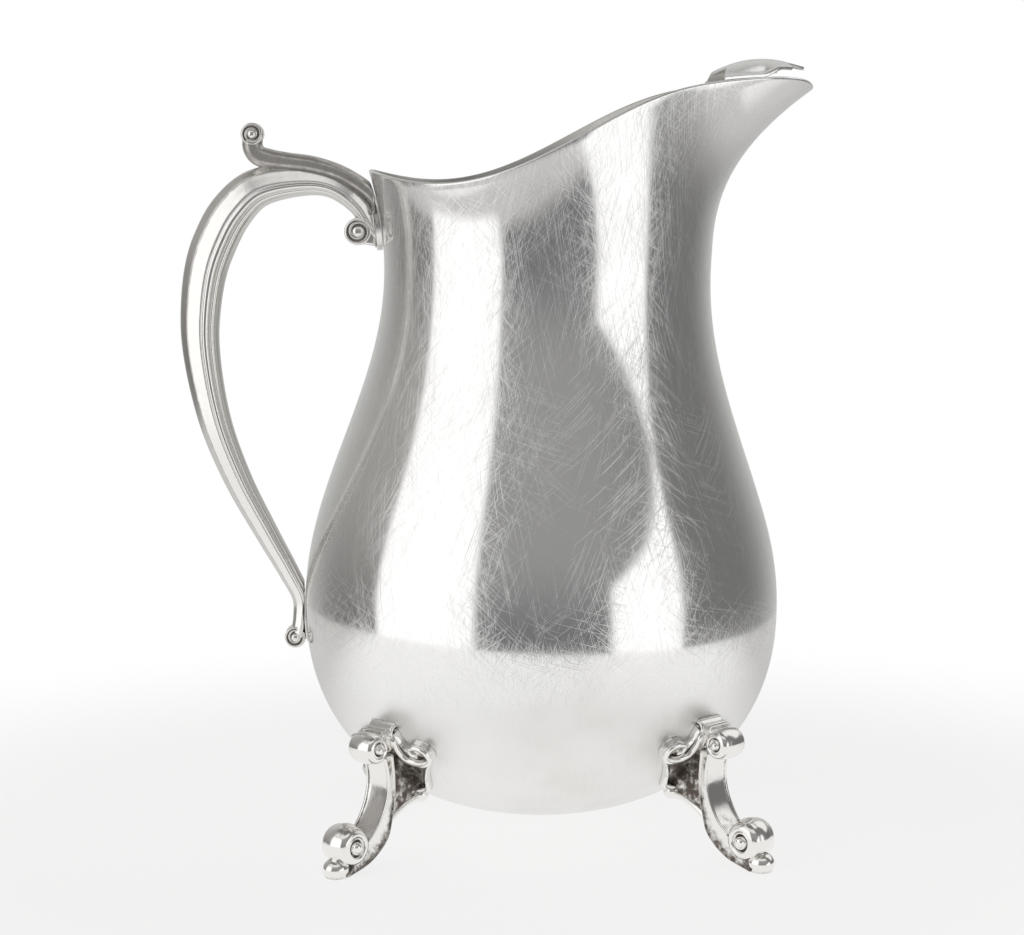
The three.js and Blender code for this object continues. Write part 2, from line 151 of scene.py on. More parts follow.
def roundSection(corners, dense=6):  # closed smooth outline through the corners, read by share of its turn
    count = len(corners)
    spots = [Vector(c) for c in corners]
    line = []
    for i in range(count):
        a, b, c, d = (spots[(i + k) % count] for k in (-1, 0, 1, 2))
        for k in range(dense):
            s = k / dense
            line.append(0.5 * ((2 * b) + (c - a) * s + (2 * a - 5 * b + 4 * c - d) * s ** 2
                               + (3 * b - a - 3 * c + d) * s ** 3))

    def at(u):
        place = (u % 1) * len(line)
        i = int(place) % len(line)
        return line[i].lerp(line[(i + 1) % len(line)], place - int(place))
    return at, len(line)


def mirrorHalf(half):
    return half + [(d, -w) for d, w in reversed(half[1:-1])]


def mirrorQuarter(quarter):
    return mirrorHalf(quarter + [(-d, w) for d, w in reversed(quarter[:-1])])


def wrapGrid(name, around, along, place, closeEnds=True):
    bpy.ops.object.select_all(action="DESELECT")
    bpy.ops.mesh.primitive_grid_add(x_subdivisions=around, y_subdivisions=along, size=2)
    piece = bpy.context.object
    piece.name = name
    for vert in piece.data.vertices:
        vert.co = place((vert.co.x + 1) / 2, (vert.co.y + 1) / 2)
    bpy.ops.object.mode_set(mode="EDIT")
    bpy.ops.mesh.select_all(action="SELECT")
    bpy.ops.mesh.remove_doubles(threshold=2e-6)  # closes the seam and the poles
    if closeEnds:
        bpy.ops.mesh.fill_holes(sides=0)
    bpy.ops.mesh.select_all(action="SELECT")
    bpy.ops.mesh.normals_make_consistent(inside=False)
    bpy.ops.object.mode_set(mode="OBJECT")
    bpy.ops.object.shade_smooth()
    return piece


def applyModifier(piece, kind, **settings):
    bpy.ops.object.select_all(action="DESELECT")
    piece.select_set(True)
    bpy.context.view_layer.objects.active = piece
    modifier = piece.modifiers.new(kind.lower(), kind)
    for name, value in settings.items():
        setattr(modifier, name, value)
    bpy.ops.object.modifier_apply(modifier=modifier.name)


def faceTowards(piece, outward):  # an open sheet has no inside of its own
    if sum(face.normal.dot(outward(face.center)) for face in piece.data.polygons) < 0:
        bpy.ops.object.mode_set(mode="EDIT")
        bpy.ops.mesh.select_all(action="SELECT")
        bpy.ops.mesh.flip_normals()
        bpy.ops.object.mode_set(mode="OBJECT")


def joinPieces(name, pieces):
    bpy.ops.object.select_all(action="DESELECT")
    for piece in pieces:
        piece.select_set(True)
    bpy.context.view_layer.objects.active = pieces[0]
    bpy.ops.object.join()
    pieces[0].name = name
    pieces[0].data.name = name
    return pieces[0]


def smoothByAngle(piece, degrees):
    bpy.ops.object.select_all(action="DESELECT")
    piece.select_set(True)
    bpy.context.view_layer.objects.active = piece
    bpy.ops.object.shade_smooth_by_angle(angle=math.radians(degrees))


def keepOff(piece, lift, middle=0, step=0.1):  # presses a casting back to the vessel's skin
    for vert in piece.data.vertices:
        x, y, z = vert.co.x / mm - middle, vert.co.y / mm, vert.co.z / mm
        angle = math.atan2(y, x)
        near = vesselRadius(z, angle)
        slope = (vesselRadius(z + step, angle) - vesselRadius(z - step, angle)) / (2 * step)
        want = near + lift(y, z) * math.hypot(1, slope)
        away = math.hypot(x, y)
        if away < want:
            vert.co.x = (middle + x * want / away) * mm
            vert.co.y = y * want / away * mm


def settle(piece, node, material):
    piece.data.materials.clear()
    piece.data.materials.append(material)
    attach(piece, "root")
    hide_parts(node)


class Wire:  # a socket that takes part in sums
    def __init__(self, tree, socket=None):
        self.tree = tree
        self.socket = socket

    def node(self, kind, settings=None, inputs=None, output=0):
        made = self.tree.nodes.new(kind)
        for name, value in (settings or {}).items():
            setattr(made, name, value)
        for name, value in (inputs or {}).items():
            if isinstance(value, Wire):
                self.tree.links.new(value.socket, made.inputs[name])
            else:
                made.inputs[name].default_value = value
        return Wire(self.tree, made.outputs[output] if len(made.outputs) else None)

    def maths(self, operation, first, second=0.0):
        return self.node("ShaderNodeMath", {"operation": operation}, {0: first, 1: second})

    def __add__(self, other):
        return self.maths("ADD", self, other)

    def __radd__(self, other):
        return self.maths("ADD", other, self)

    def __sub__(self, other):
        return self.maths("SUBTRACT", self, other)

    def __rsub__(self, other):
        return self.maths("SUBTRACT", other, self)

    def __mul__(self, other):
        return self.maths("MULTIPLY", self, other)

    def __rmul__(self, other):
        return self.maths("MULTIPLY", other, self)

    def between(self, low, high):  # 0 below low, 1 above high
        return self.node("ShaderNodeMapRange", {"interpolation_type": "SMOOTHSTEP"},
                         {"Value": self, "From Min": low, "From Max": high})


def newMaterial(name):
    material = bpy.data.materials.new(name)
    material.use_nodes = True
    material.node_tree.nodes.clear()
    return material, Wire(material.node_tree)


def noise(wire, where, scale, detail=2.0, roughness=0.5):
    return wire.node("ShaderNodeTexNoise", {}, {"Vector": where, "Scale": scale, "Detail": detail,
                                                "Roughness": roughness})


def hairlines(wire, where, lean, size, low, high):  # thin straight scratches, size = width and length
    turned = wire.node("ShaderNodeMapping", {"vector_type": "TEXTURE"},
                       {"Vector": where, "Rotation": (0, 0, lean), "Scale": (size[0], size[1], 1)})
    return noise(wire, turned, 1.0, 1.0).between(low, high)


def mixColour(wire, factor, first, second):
    return wire.node("ShaderNodeMix", {"data_type": "RGBA"}, {0: factor, 6: first, 7: second}, output=2)


plateLook = {"silver": (0.862, 0.856, 0.842, 1), "dull": (0.77, 0.76, 0.735, 1), "roughness": 0.07,
             "streakRoughness": 0.14, "scratchDepth": 0.0000075, "satin": 0.3,
             # the inside colour is painted shade for the hollow; the inside is also given a rougher finish
             "inside": (0.5, 0.49, 0.465, 1), "insideRoughness": 0.3, "satinTop": (0.042, 0.066),
             "unroll": 0.06, "wanderScale": 14.0, "wander": 0.012, "streakSpread": 0.16, "scratchSpread": 0.06,
             "patchScale": 26.0, "patches": (0.38, 0.64), "patchShare": 0.6, "streakDepth": 0.18,
             "hazeScale": 9.0, "hazeColour": (0.5, 0.78), "hazeSpread": (0.35, 0.75), "hazeRoughness": 0.04,
             "streaks": ((0.08, 0.0002, 0.008, 0.52), (-0.14, 0.0002, 0.01, 0.54), (0.4, 0.00022, 0.013, 0.58),
                         (-0.5, 0.00024, 0.015, 0.59)),  # lean, width, length, threshold
             "scratches": ((0.2, 0.00022, 0.03, 0.62), (-0.35, 0.00022, 0.034, 0.63), (0.8, 0.00024, 0.04, 0.63),
                           (-0.9, 0.00024, 0.03, 0.64), (1.25, 0.00024, 0.03, 0.65))}


def makePlateMaterial():
    look = plateLook
    material, wire = newMaterial("polishedPlate")
    where = wire.node("ShaderNodeTexCoord", output=3)
    split = wire.node("ShaderNodeSeparateXYZ", {}, {0: where})
    x, y, z = (Wire(wire.tree, split.socket.node.outputs[i]) for i in range(3))
    angle = wire.maths("ARCTAN2", y, x - axisX * mm)
    wander = (noise(wire, where, look["wanderScale"]) - 0.5) * look["wander"]
    around = angle * look["unroll"] + wander
    skin = wire.node("ShaderNodeCombineXYZ", {}, {0: around, 1: z, 2: wander})  # unrolled wall
    streaks, scratches = 0, 0
    for lean, width, length, least in look["streaks"]:
        streaks = streaks + hairlines(wire, skin, lean, (width, length), least, least + look["streakSpread"])
    for lean, width, length, least in look["scratches"]:
        scratches = scratches + hairlines(wire, skin, lean, (width, length), least, least + look["scratchSpread"])
    patches = noise(wire, where, look["patchScale"], 3.0).between(*look["patches"])
    streaks = streaks * (patches * look["patchShare"] + (1 - look["patchShare"]))
    haze = noise(wire, where, look["hazeScale"], 4.0, 0.6)
    colour = mixColour(wire, haze.between(*look["hazeColour"]), look["silver"], look["dull"])
    inside = wire.node("ShaderNodeAttribute", {"attribute_name": "inside"}, output=2)
    # painted shade: the wall facing the hollow is painted darker, and it is also made rougher below
    colour = mixColour(wire, inside, colour, look["inside"])
    low = 1 - z.between(*look["satinTop"])  # the bowl near the feet is less polished
    rough = (haze.between(*look["hazeSpread"]) * look["hazeRoughness"] + streaks * look["streakRoughness"]
             + low * look["satin"] + inside * look["insideRoughness"] + look["roughness"])
    bump = wire.node("ShaderNodeBump", {}, {"Strength": 1.0, "Distance": look["scratchDepth"],
                                            "Height": streaks * -look["streakDepth"] - scratches})
    shader = wire.node("ShaderNodeBsdfPrincipled", {}, {"Base Color": colour, "Metallic": 1.0,
                                                       "Roughness": rough, "Normal": bump})
    wire.node("ShaderNodeOutputMaterial", {}, {"Surface": shader})
    return material


castLook = {"silver": (0.84, 0.825, 0.8, 1), "tarnishAndShade": (0.115, 0.09, 0.07, 1), "grainDepth": 0.00006,
            "grainStrength": 0.35, "blotchScale": 420.0, "blotches": (0.35, 0.75), "blotchRoughness": 0.08,
            "recessShare": 0.85, "dirtAndShade": (0.25, 1.0), "dirtAndShadeRoughness": 0.3, "dirtAndShadeCover": 0.5,
            "castHandle": {"grainScale": 900.0, "tarnishAndShadeShare": 0.75, "mottle": 0.8, "roughness": 0.19},
            "castFeet": {"grainScale": 700.0, "tarnishAndShadeShare": 1.0, "mottle": 2.6, "roughness": 0.12}}


def makeCastMaterial(name):
    look = castLook
    finish = look[name]
    material, wire = newMaterial(name)
    where = wire.node("ShaderNodeTexCoord", output=3)
    recess = wire.node("ShaderNodeAttribute", {"attribute_name": "recess"}, output=2)  # 1 in the hollows; it carries tarnish and also painted shade and a painted contact shadow
    grain = noise(wire, where, finish["grainScale"], 3.0, 0.55)
    blotch = noise(wire, where, look["blotchScale"], 5.0, 0.65)
    hollow = recess * look["recessShare"] + (blotch - 0.5) * finish["mottle"] * recess
    # tarnish in the hollows together with painted shade, mixed into the colour below
    dirtAndShade = hollow.between(*look["dirtAndShade"]) * finish["tarnishAndShadeShare"]
    colour = mixColour(wire, dirtAndShade, look["silver"], look["tarnishAndShade"])
    rough = (blotch.between(*look["blotches"]) * look["blotchRoughness"] + dirtAndShade * look["dirtAndShadeRoughness"]
             + finish["roughness"])
    bump = wire.node("ShaderNodeBump", {}, {"Strength": look["grainStrength"], "Distance": look["grainDepth"],
                                            "Height": grain})
    metal = 1.0 - look["dirtAndShadeCover"] * dirtAndShade
    shader = wire.node("ShaderNodeBsdfPrincipled", {}, {"Base Color": colour, "Metallic": metal,
                                                       "Roughness": rough, "Normal": bump})
    wire.node("ShaderNodeOutputMaterial", {}, {"Surface": shader})
    return material


def markInside(piece):  # 1 where the wall faces the hollow
    layer = piece.data.attributes.new("inside", "FLOAT", "POINT")
    for i, vert in enumerate(piece.data.vertices):
        away = Vector((vert.co.x - axisX * mm, vert.co.y, min(vert.co.z - vessel["bellyHeight"] * mm, 0)))
        layer.data[i].value = smooth(*vessel["insideFacing"], vert.normal.dot(away.normalized()))


def markRecess(piece, depth):  # depth(co) gives 0 to 1 for each vertex
    layer = piece.data.attributes.get("recess")
    if layer is None:
        layer = piece.data.attributes.new("recess", "FLOAT", "POINT")
    for i, vert in enumerate(piece.data.vertices):
        layer.data[i].value = depth(vert.co)


polishedPlate = makePlateMaterial()
castHandle = makeCastMaterial("castHandle")
castFeet = makeCastMaterial("castFeet")
print("materials made")


def makeVessel():
    def place(u, v):
        angle = 2 * math.pi * u - vessel["spokePull"] * math.sin(2 * math.pi * u)  # closer spokes at the spout
        return toFrame(facePoint(vessel["topShare"] * v, angle))
    piece = wrapGrid("vesselSkin", vessel["spokes"], vessel["rows"], place, closeEnds=False)
    faceTowards(piece, lambda at: Vector((at.x - axisX * mm, at.y, 0)))
    applyModifier(piece, "SOLIDIFY", thickness=vessel["wall"] * mm, offset=-1, use_even_offset=True)
    applyModifier(piece, "BEVEL", width=vessel["rimRound"] * mm, segments=4, limit_method="ANGLE",
                  angle_limit=math.radians(50))
    smoothByAngle(piece, 60)
    markInside(piece)
    settle(piece, "body_shell", polishedPlate)


makeVessel()
print("vessel made")

guard = {"sheet": 1.1, "rise": 7.3, "drop": 1.6, "lift": 2.3, "backAngle": 0.56, "frontAngle": 0.27, "hollow": 3,
         "skirtShare": 0.9, "skirtRoot": 0.7, "skirtFade": (0.55, 0.85), "archPower": 2.2, "inset": 0.98,
         "dip": 1.2, "bowPower": 4, "edgeRound": 0.35,
         "beakDip": 1.5, "beakRoot": 0.905, "beakTip": 0.98, "beakWidth": 0.34, "beakPower": 6,
         "across": 100, "rows": 40}


def makeGuard():
    g = guard
    lip = facePoint(2, 0)
    backX = facePoint(2, g["backAngle"]).x + g["hollow"]
    frontX = lip.x * g["beakRoot"]
    lift = vessel["wall"] / 2 + gap + g["sheet"] + g["lift"]

    def place(u, v):
        side = 2 * u - 1
        edge = facePoint(2, g["backAngle"] + (g["frontAngle"] - g["backAngle"]) * v)
        beak = max(0, 1 - (side / g["beakWidth"]) ** 2) ** 2 * v ** g["beakPower"]
        crownX = backX + (frontX - backX) * v
        x = edge.x + (crownX - edge.x) * (1 - side ** 2) + (lip.x * g["beakTip"] - frontX) * beak
        skirt = g["lift"] * smooth(g["skirtRoot"], 1, abs(side)) * (1 - smooth(*g["skirtFade"], v))
        bow = g["rise"] - g["drop"] * (1 - v) ** g["bowPower"] - g["dip"] * v ** g["bowPower"] - g["beakDip"] * beak
        arch = 1 - min(1, abs(side) / g["skirtShare"]) ** g["archPower"]
        return toFrame(Vector((x, g["inset"] * edge.y * side, edge.z + lift - skirt + (bow - lift) * arch)))
    piece = wrapGrid("guardBridge", g["across"], g["rows"], place, closeEnds=False)
    faceTowards(piece, lambda at: Vector((0, 0, 1)))
    applyModifier(piece, "SOLIDIFY", thickness=g["sheet"] * mm, offset=-1)
    applyModifier(piece, "BEVEL", width=g["edgeRound"] * mm, segments=3, limit_method="ANGLE",
                  angle_limit=math.radians(50))
    smoothByAngle(piece, 50)
    settle(piece, "ice_guard", polishedPlate)


makeGuard()
print("guard made")

joints = {"handleTopHeight": 186, "handleLowHeight": 67, "archRise": 15, "tailDrop": 5, "plateThickness": 1.6,
          "plateEdge": 0.25, "plateThinning": (1, 0.5), "plateMargin": 0.8, "faceShare": 0.45, "sideShare": 0.1,
          "plateSpokes": 48, "plateRows": 40}
plates = {"upper": {"width": 5.6, "height": 8.8, "middle": 188.6, "heel": True},
          "lower": {"width": 3.4, "height": 8.4, "middle": 67, "heel": False}}


def plateThickness(spec, share, height):  # the joint plates thin out to their edges, but not at a heel
    full = 1 if spec["heel"] and height < spec["middle"] else smooth(*joints["plateThinning"], share)
    return joints["plateEdge"] + (joints["plateThickness"] - joints["plateEdge"]) * full


def castingLift(across, height):  # room for the joint plates under the handle
    lift = 2 * gap
    margin = joints["plateMargin"]
    for spec in plates.values():
        share = math.hypot(across / (spec["width"] + margin), (height - spec["middle"]) / (spec["height"] + margin))
        if share < 1:
            lift = 2 * gap + plateThickness(spec, share, height)
    return lift


neckSeat = -sideRadius(joints["handleTopHeight"], math.pi)
bellySeat = -vesselRadius(joints["handleLowHeight"], math.pi)
handleTop = joints["handleTopHeight"] + joints["archRise"]
handleLow = joints["handleLowHeight"] - joints["tailDrop"]


def sweep(name, path, around, along, section, put=toFrame):
    def place(u, v):
        point, ahead = path(v)
        outward = Vector((ahead.z, 0, -ahead.x))
        depth, width = section(u, v)
        return put(point + outward * depth + Vector((0, width, 0)))
    return wrapGrid(name, around, along, place)


volute = {"spokes": 56, "rows": 84, "crownEnd": 0.12, "edgeEnd": 0.3, "groovePower": 1.5, "edgeFade": 1.6,
          "eyeFade": (0.85, 1.25), "eyeClean": 0.8, "dirtAndShade": (0.15, 0.75), "leastGroove": 0.1}


def makeVolute(name, x, z, radius, width, spec, put=toFrame):  # rolled end with a spiral groove and an eye
    crownEnd, edgeEnd = volute["crownEnd"], volute["edgeEnd"]
    nearEye, offEye = volute["eyeFade"]
    half = width / 2
    edge = spec["edge"] * radius
    eye = spec["eye"] * radius
    pitch = (radius - edge - eye) / spec["turns"]

    def place(u, v):
        turn = 2 * math.pi * u
        side = 1 if v > 0.5 else -1
        w = abs(2 * v - 1)
        if w < crownEnd:
            reach, out = radius + spec["crown"] * (1 - (w / crownEnd) ** 2), (half - edge) * w / crownEnd
        elif w < edgeEnd:
            bend = (w - crownEnd) / (edgeEnd - crownEnd) * math.pi / 2
            reach, out = radius - edge + edge * math.cos(bend), half - edge + edge * math.sin(bend)
        else:
            reach = (radius - edge) * (1 - (w - edgeEnd) / (1 - edgeEnd))
            phase = (reach - eye) / pitch + spec["hand"] * u
            groove = 0.5 - 0.5 * math.cos(2 * math.pi * phase)
            fade = smooth(eye * nearEye, eye * offEye, reach)
            fade *= smooth(radius, radius - edge * volute["edgeFade"], reach)
            out = half - spec["groove"] * groove ** volute["groovePower"] * fade
            if reach < eye:
                out += spec["boss"] * math.sqrt(max(1 - (reach / eye) ** 2, 0))
        return put(Vector((x + reach * math.cos(turn), side * out, z + reach * math.sin(turn))))
    piece = wrapGrid(name, volute["spokes"], volute["rows"], place)
    centre = put(Vector((x, 0, z)))

    def depth(co):
        away = co - centre
        reach = math.hypot(away.x, away.z) / mm
        sunk = half - abs(away.y) / mm
        if reach > radius - edge or reach < eye * volute["eyeClean"]:
            return 0
        return smooth(*volute["dirtAndShade"], sunk / max(spec["groove"], volute["leastGroove"]))
    markRecess(piece, depth)
    return piece


handle = {
    "reach": 103.7, "width": 13, "depth": 13.6, "stations": 260, "samples": 200,
    "neckPath": ((1, 0.135), (-2.6, 0.098), (-7, 0.05), (-15, 0.008), (-24, -0.002)),  # off the seat, share of drop
    "archPath": ((0.828, 0.016), (0.903, 0.067), (0.95, 0.129), (0.978, 0.186), (0.997, 0.27), (1, 0.36),
                 (0.965, 0.52), (0.9, 0.655)),  # shares of the reach and of the drop
    "bend": (-1.4, 0.78), "bellyPath": ((-4.9, 0.87), (-1.4, 0.925), (-1.5, 0.97), (-2.6, 1.01)),
    "depthStart": 0.5, "depthGrows": (0.04, 0.33), "depthShrinksFrom": 0.36,
    "widthStart": 0.66, "widthGrows": (0, 0.35), "widthLoss": 0.4, "widthShrinks": (0.45, 1),
    "section": [  # away from the vessel, aside
        (1.0, 0.0), (0.985, 0.12), (0.93, 0.25), (0.8, 0.42), (0.65, 0.595), (0.58, 0.64), (0.38, 0.73),
        (0.16, 0.825), (-0.05, 0.915), (-0.12, 0.9), (-0.17, 0.92), (-0.25, 0.99), (-0.36, 1.0), (-0.46, 0.95),
        (-0.54, 0.84), (-0.59, 0.73), (-0.65, 0.72), (-0.76, 0.63), (-0.9, 0.4), (-1.0, 0.0)],
    "lines": ((0.12, 0.06, 0.01, 0.5), (0.61, 0.09, 0.02, 1)),  # place, fade from, fade to, strength
    "lineDirt": 0.8, "lineSide": (0.5, 0.65),
    "innerVolute": 4.1, "innerSpot": (-7.2, -0.4), "innerWidth": 0.7,
    "tailVolute": 3.3, "tailSpot": (-3.4, -6.6), "tailWidth": 0.5, "webWidth": 0.56, "webEdge": 0.8,
    "volute": {"edge": 0.16, "eye": 0.4, "turns": 1.2, "groove": 0.8, "boss": 0.9, "crown": 0.0, "hand": 1},
}


def handlePath():
    h = handle

    def drop(share):
        return handleTop - share * (handleTop - handleLow)
    points = [(neckSeat + x, drop(share)) for x, share in h["neckPath"]]
    points += [(-h["reach"] * out, drop(share)) for out, share in h["archPath"]]
    aside, share = h["bend"]
    points.append(((points[-1][0] + bellySeat) / 2 + aside, drop(share)))
    points += [(bellySeat + x, drop(share)) for x, share in h["bellyPath"]]
    return pathThrough(points)


def handleSize(v):
    h = handle
    depth = h["depthStart"] + (1 - h["depthStart"]) * smooth(*h["depthGrows"], v)
    depth -= max(0, v - h["depthShrinksFrom"])
    width = h["widthStart"] + (1 - h["widthStart"]) * smooth(*h["widthGrows"], v)
    width -= h["widthLoss"] * smooth(*h["widthShrinks"], v)
    return h["depth"] * depth / 2, h["width"] * width / 2


def makeHandle():
    h = handle
    top, low = joints["handleTopHeight"], joints["handleLowHeight"]
    outline, around = roundSection(mirrorHalf(h["section"]), dense=3)

    def section(u, v):
        depth, width = handleSize(v)
        d, w = outline(u)
        return d * depth, w * width
    path = handlePath()
    grip = sweep("gripBar", path, around, h["stations"], section)
    count = h["samples"]
    middle = [toFrame(path(i / count)[0]) for i in range(count + 1)]
    ahead = [path(i / count)[1] for i in range(count + 1)]

    def dirtLine(co):  # fine tarnished lines along the broad face
        i = min(range(count + 1), key=lambda k: (middle[k].x - co.x) ** 2 + (middle[k].z - co.z) ** 2)
        depth, width = handleSize(i / count)
        aside = (co.x - middle[i].x) * ahead[i].z - (co.z - middle[i].z) * ahead[i].x
        across = aside / math.hypot(ahead[i].x, ahead[i].z) / mm / depth  # + away from the vessel
        line = max(strength * smooth(wide, narrow, abs(across - spot))
                   for spot, wide, narrow, strength in h["lines"])
        return h["lineDirt"] * line * smooth(*h["lineSide"], abs(co.y) / mm / width)
    markRecess(grip, dirtLine)
    inner = makeVolute("innerVolute", neckSeat + h["innerSpot"][0], top + h["innerSpot"][1], h["innerVolute"],
                       h["width"] * h["innerWidth"], h["volute"])
    tail = makeVolute("tailVolute", bellySeat + h["tailSpot"][0], low + h["tailSpot"][1], h["tailVolute"],
                      h["width"] * h["tailWidth"], h["volute"])
    corners = ((-7, -h["innerVolute"]), (-1.9, -h["innerVolute"] - 0.8), (-1.9, 2), (-5, 0))
    web = makeWeb("voluteWeb", [(neckSeat + x, top + z) for x, z in corners], h["width"] * h["webWidth"],
                  h["webEdge"])
    markRecess(web, lambda co: 0)
    piece = joinPieces("handleCasting", [grip, inner, tail, web])
    keepOff(piece, castingLift, axisX)
    settle(piece, "handle", castHandle)


def makeWeb(name, outline, width, edge, put=toFrame):  # flat plate in the upright plane, edges eased
    bpy.ops.object.select_all(action="DESELECT")
    bpy.ops.mesh.primitive_circle_add(vertices=len(outline), fill_type="NGON")
    piece = bpy.context.object
    piece.name = name
    for vert, (x, z) in zip(piece.data.vertices, outline):
        vert.co = put(Vector((x, -width / 2, z)))
    bpy.ops.object.mode_set(mode="EDIT")
    bpy.ops.mesh.select_all(action="SELECT")
    bpy.ops.mesh.extrude_region_move(TRANSFORM_OT_translate={"value": (0, width * mm, 0)})
    bpy.ops.mesh.select_all(action="SELECT")
    bpy.ops.mesh.normals_make_consistent(inside=False)
    bpy.ops.object.mode_set(mode="OBJECT")
    applyModifier(piece, "BEVEL", width=edge * mm, segments=3, limit_method="ANGLE", angle_limit=math.radians(40))
    smoothByAngle(piece, 45)
    return piece


makeHandle()
print("handle made")

thumb = {
    "width": 9.6, "thickness": 5, "reach": 38.8, "rise": 14.4, "volute": 3.4, "voluteWidth": 0.72, "stations": 60,
    "path": ((-0.02, -0.62), (0.09, -0.25), (0.3, 0.13), (0.526, 0.333), (0.747, 0.42), (0.88, 0.478),
             (0.966, 0.565), (1.002, 0.745), (1, 0.89)),  # shares of the reach and the rise
    "section": [(1.0, 0.0), (0.95, 0.35), (0.78, 0.72), (0.42, 0.97), (0.0, 1.0)],
    # the strap's darkening share below is a painted reflection over the whole strap
    "swells": ((0.1, 0.3, 0.6), (0.14, 0.66, 0.86)), "widthLoss": 0.3, "narrows": (0.5, 1), "tarnishAndShade": 0.8,
    "roll": {"edge": 0.16, "eye": 0.4, "turns": 1.2, "groove": 0.8, "boss": 0.9, "crown": 0.0, "hand": -1},
}


def makeThumbScroll():
    t = thumb
    path = pathThrough([(neckSeat - out * t["reach"], handleTop + up * t["rise"]) for out, up in t["path"]])
    outline, around = roundSection(mirrorQuarter(t["section"]), dense=3)

    def section(u, v):
        depth = t["thickness"] * (1 + sum(share * smooth(low, high, v) for share, low, high in t["swells"]))
        width = t["width"] * (1 - t["widthLoss"] * smooth(*t["narrows"], v))
        d, w = outline(u)
        return d * depth / 2, w * width / 2
    strap = sweep("thumbStrap", path, around, t["stations"], section)
    markRecess(strap, lambda co: t["tarnishAndShade"])  # painted reflection: the strap is darkened all over, as if a dark room were mirrored in it
    tip = makeVolute("thumbVolute", neckSeat - t["reach"], handleTop + t["rise"], t["volute"],
                     t["width"] * t["voluteWidth"], t["roll"])
    piece = joinPieces("thumbScroll", [strap, tip])
    keepOff(piece, castingLift, axisX)
    settle(piece, "thumb_scroll", castHandle)


makeThumbScroll()
print("thumb scroll made")


def makePlate(name, node, spec):  # oval pad that follows the vessel's wall
    face, rim = joints["faceShare"], joints["sideShare"]  # of the mesh rows

    def place(u, v):
        turn = 2 * math.pi * u
        share = min(v / face, 1, (1 - v) / face)
        across = share * spec["width"] * math.cos(turn)
        height = spec["middle"] + share * spec["height"] * math.sin(turn)
        lift = gap + plateThickness(spec, share, height) * min(max((v - face) / rim, 0), 1)
        return toFrame(wallPoint(across, height, lift, math.pi))
    piece = wrapGrid(name, joints["plateSpokes"], joints["plateRows"], place)
    smoothByAngle(piece, 50)
    markRecess(piece, lambda co: 0)
    settle(piece, node, castHandle)


makePlate("upperPlate", "handle_upper_plate", plates["upper"])
makePlate("lowerPlate", "handle_lower_plate", plates["lower"])
print("joint plates made")

foot = {"seatHeight": 33.5, "seam": 0.08}
seat = bowlRadius(foot["seatHeight"])  # places on the foot are given from here outward, and from the table up


def onFoot(point):  # feet are made at angle 0 about the vessel's axis, and turned when whole
    return point * mm


leg = {
    "width": 9.8, "rows": 56, "samples": 120,
    "front": [(9.1, 33.5), (7.7, 28), (7.9, 23), (9.5, 18), (12.7, 13), (17.1, 9)],
    "back": [(5.3, 34), (4.7, 27), (5, 20.7), (6.1, 14.8), (8.2, 8.7), (14.9, 3.3), (24, 0.5)],
    "section": [  # millimetres in from the front, share of the width
        (0.8, -0.9), (0.5, -0.99), (0.1, -1.0), (-0.3, -0.98), (-0.42, -0.91), (-0.25, -0.83), (0.15, -0.77),
        (0.3, -0.55), (0.34, 0.0), (0.3, 0.55), (0.15, 0.77), (-0.25, 0.83), (-0.42, 0.91), (-0.3, 0.98), (0.1, 1.0),
        (0.5, 0.99), (0.8, 0.9), (1.7, 0.86), (2.05, 0.95), (2.4, 0.75), (2.5, 0.0), (2.4, -0.75), (2.05, -0.95),
        (1.7, -0.86)],
    "frontPart": 1.2, "full": 2.5,  # past frontPart the section is measured from the back
    # the side and face darkening below is painted shade
    "faceDepth": 0.75, "sideShade": 0.85, "sideHeights": (27, 19), "sideEdge": (0.95, 0.91),
    "lineDirt": 0.75, "lineFade": (0.09, 0.03), "lineSpot": 0.79,
    "faceShade": 0.5, "faceHeights": (20, 12), "faceHalf": 0.75,
}


def makeLeg():
    front = pathThrough([(seat + r, z) for r, z in leg["front"]])
    back = pathThrough([(seat + r, z) for r, z in leg["back"]])
    outline, around = roundSection(leg["section"], dense=4)

    def place(u, v):
        a, b = front(v)[0], back(v)[0]
        d, w = outline(u)
        inward = (b - a).normalized()
        spot = b - inward * (leg["full"] - d) if d > leg["frontPart"] else a + inward * d
        return onFoot(spot + Vector((0, w * leg["width"] / 2, 0)))
    piece = wrapGrid("leg", around, leg["rows"], place)
    crest = [front(i / leg["samples"])[0] for i in range(leg["samples"] + 1)]

    def depth(co):  # painted shade in the sunk sides near the toe and low on the face; dark along the raised edges
        across = abs(co.y) / mm / (leg["width"] / 2)
        height = co.z / mm
        ahead = min(math.hypot(co.x / mm - spot.x, height - spot.z) for spot in crest)
        if ahead > leg["faceDepth"]:
            return leg["sideShade"] * smooth(*leg["sideHeights"], height) * smooth(*leg["sideEdge"], across)
        line = leg["lineDirt"] * smooth(*leg["lineFade"], abs(across - leg["lineSpot"]))
        return max(line, leg["faceShade"] * smooth(*leg["faceHeights"], height) * (across < leg["faceHalf"]))
    markRecess(piece, depth)
    return piece


def readEdge(table, across):
    for (t0, z0), (t1, z1) in zip(table, table[1:]):
        if across <= t1:
            return z0 + (z1 - z0) * (across - t0) / (t1 - t0)
    return table[-1][1]


